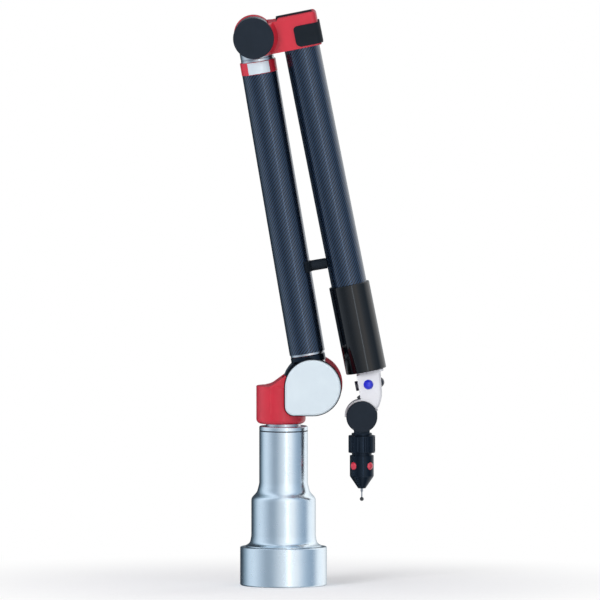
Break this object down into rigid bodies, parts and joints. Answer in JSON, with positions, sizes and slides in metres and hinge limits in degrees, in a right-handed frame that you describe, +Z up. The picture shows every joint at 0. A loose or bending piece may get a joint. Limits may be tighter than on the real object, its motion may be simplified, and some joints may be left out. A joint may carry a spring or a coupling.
{
  "type": "coordinate measuring machine",
  "caption": "Portable articulated measuring arm with a swivelling column, folded carbon tubes, a rolling and bending wrist and a ball-tipped touch probe.",
  "frame": {"origin": "centre of the mounting ring's threaded mouth, on the swivel axis, at the level it stands on", "axes": "+Z up along the swivel axis; the front of the arm, with its round covers, faces -Y; the parked forearm hangs on the +X side"},
  "size_m": [0.2295, 0.13, 0.8648],
  "materials": {
    "ball_dark": "polished",
    "bearing_steel": "polished",
    "black_anodised": "satin",
    "black_plastic": "satin",
    "blue_button": "gloss",
    "cap_black": "matte",
    "carbon_fibre": "gloss",
    "circuit_board": "satin",
    "dark_button": "gloss",
    "dark_steel": "satin",
    "encoder_glass": "polished",
    "grip_black": "gloss",
    "machined_silver": "satin",
    "red_button": "gloss",
    "red_coat": "satin",
    "rubber_black": "matte",
    "silver_anodised": "satin",
    "silver_cover": "satin",
    "steel": "satin",
    "white_shell": "satin"
  },
  "bodies": {
    "base": {"column": "silver_anodised", "base_flange": "steel", "flange_screws": "dark_steel", "main_board": "circuit_board", "bearing_cap": "silver_anodised", "rear_socket": "black_plastic", "swivel_bearings": "bearing_steel", "swivel_read_head": "circuit_board"},
    "ring": {"mounting_ring": "silver_anodised"},
    "swivel": {"swivel_housing": "red_coat", "swivel_shaft": "machined_silver", "swivel_encoder_disc": "encoder_glass", "shoulder_bearings": "bearing_steel", "shoulder_cover": "silver_cover", "shoulder_rear_cap": "cap_black", "rear_cap_screws": "dark_steel", "counterbalance_spring": "steel"},
    "shoulder": {"shoulder_knuckle": "machined_silver", "shoulder_axle": "steel", "shoulder_encoder_disc": "encoder_glass", "roll_ring": "black_anodised", "roll_bearings": "bearing_steel"},
    "lower_arm": {"lower_tube": "carbon_fibre", "roll_spindle": "machined_silver", "roll_encoder_disc": "encoder_glass", "red_collar": "red_coat", "blank_plate": "silver_cover", "parking_peg": "rubber_black", "elbow_knuckle": "machined_silver", "elbow_bearings": "bearing_steel"},
    "forearm": {"forearm_tube": "carbon_fibre", "elbow_yoke": "red_coat", "elbow_axle": "steel", "elbow_encoder_disc": "encoder_glass", "elbow_front_cap": "cap_black", "elbow_rear_cap": "cap_black", "top_pad": "rubber_black", "side_pad": "rubber_black", "grip": "grip_black", "wrist_bearing_housing": "machined_silver", "wrist_roll_bearings": "bearing_steel"},
    "wrist": {"wrist_housing": "white_shell", "wrist_spindle": "white_shell", "wrist_board": "circuit_board", "wrist_hinge_bearings": "bearing_steel"},
    "front_button": {"front_button": "blue_button"},
    "right_button": {"right_button": "dark_button"},
    "left_button": {"left_button": "dark_button"},
    "mode_button": {"mode_button": "dark_button"},
    "probe": {"probe_body": "black_anodised", "probe_fork": "black_anodised", "wrist_axle": "steel", "wrist_front_disc": "cap_black", "wrist_rear_disc": "cap_black", "nose_cone": "black_anodised", "stylus_stem": "steel", "stylus_ball": "ball_dark"},
    "lock_ring": {"lock_ring": "black_anodised"},
    "red_button_left": {"red_button_left": "red_button"},
    "red_button_right": {"red_button_right": "red_button"}
  },
  "joints": [
    {"name": "ring_turn", "type": "hinge", "parent": "base", "child": "ring", "pos_m": [0, 0, 0.029], "axis": [0, 0, 1], "continuous": true},
    {"name": "base_swivel", "type": "hinge", "parent": "base", "child": "swivel", "pos_m": [0, 0, 0.2], "axis": [0, 0, 1], "continuous": true},
    {"name": "shoulder_tilt", "type": "hinge", "parent": "swivel", "child": "shoulder", "pos_m": [0.044, 0, 0.3], "axis": [0, -1, 0], "range_deg": [-9, 28]},
    {"name": "lower_arm_roll", "type": "hinge", "parent": "shoulder", "child": "lower_arm", "pos_m": [0.044, 0, 0.3], "axis": [-0.1671, 0, 0.9859], "range_deg": [-18, 18]},
    {"name": "elbow_bend", "type": "hinge", "parent": "lower_arm", "child": "forearm", "pos_m": [-0.04499, 0, 0.82501], "axis": [0, -1, 0], "range_deg": [0, 145]},
    {"name": "wrist_roll", "type": "hinge", "parent": "forearm", "child": "wrist", "pos_m": [0.12414, 0, 0.3219], "axis": [-0.1946, 0, 0.9809], "continuous": true},
    {"name": "wrist_bend", "type": "hinge", "parent": "wrist", "child": "probe", "pos_m": [0.11748, 0, 0.25422], "axis": [0, 1, 0], "range_deg": [-72, 28]},
    {"name": "lock_ring_turn", "type": "hinge", "parent": "probe", "child": "lock_ring", "pos_m": [0.11748, 0, 0.25422], "axis": [0, 0, 1], "range_deg": [0, 90]},
    {"name": "front_button_press", "type": "slide", "parent": "wrist", "child": "front_button", "axis": [0, 1, 0], "range_m": [0, 0.001], "stiffness_N_per_m": 1500},
    {"name": "right_button_press", "type": "slide", "parent": "wrist", "child": "right_button", "axis": [-0.9809, 0, -0.1946], "range_m": [0, 0.001], "stiffness_N_per_m": 1500},
    {"name": "left_button_press", "type": "slide", "parent": "wrist", "child": "left_button", "axis": [0.9809, 0, 0.1946], "range_m": [0, 0.001], "stiffness_N_per_m": 1500},
    {"name": "mode_button_press", "type": "slide", "parent": "wrist", "child": "mode_button", "axis": [0.8068, 0, 0.5909], "range_m": [0, 0.001], "stiffness_N_per_m": 1500},
    {"name": "red_button_left_press", "type": "slide", "parent": "probe", "child": "red_button_left", "axis": [0.7314, 0.682, 0], "range_m": [0, 0.001], "stiffness_N_per_m": 1500},
    {"name": "red_button_right_press", "type": "slide", "parent": "probe", "child": "red_button_right", "axis": [-0.7314, 0.682, 0], "range_m": [0, 0.001], "stiffness_N_per_m": 1500}
  ]
}
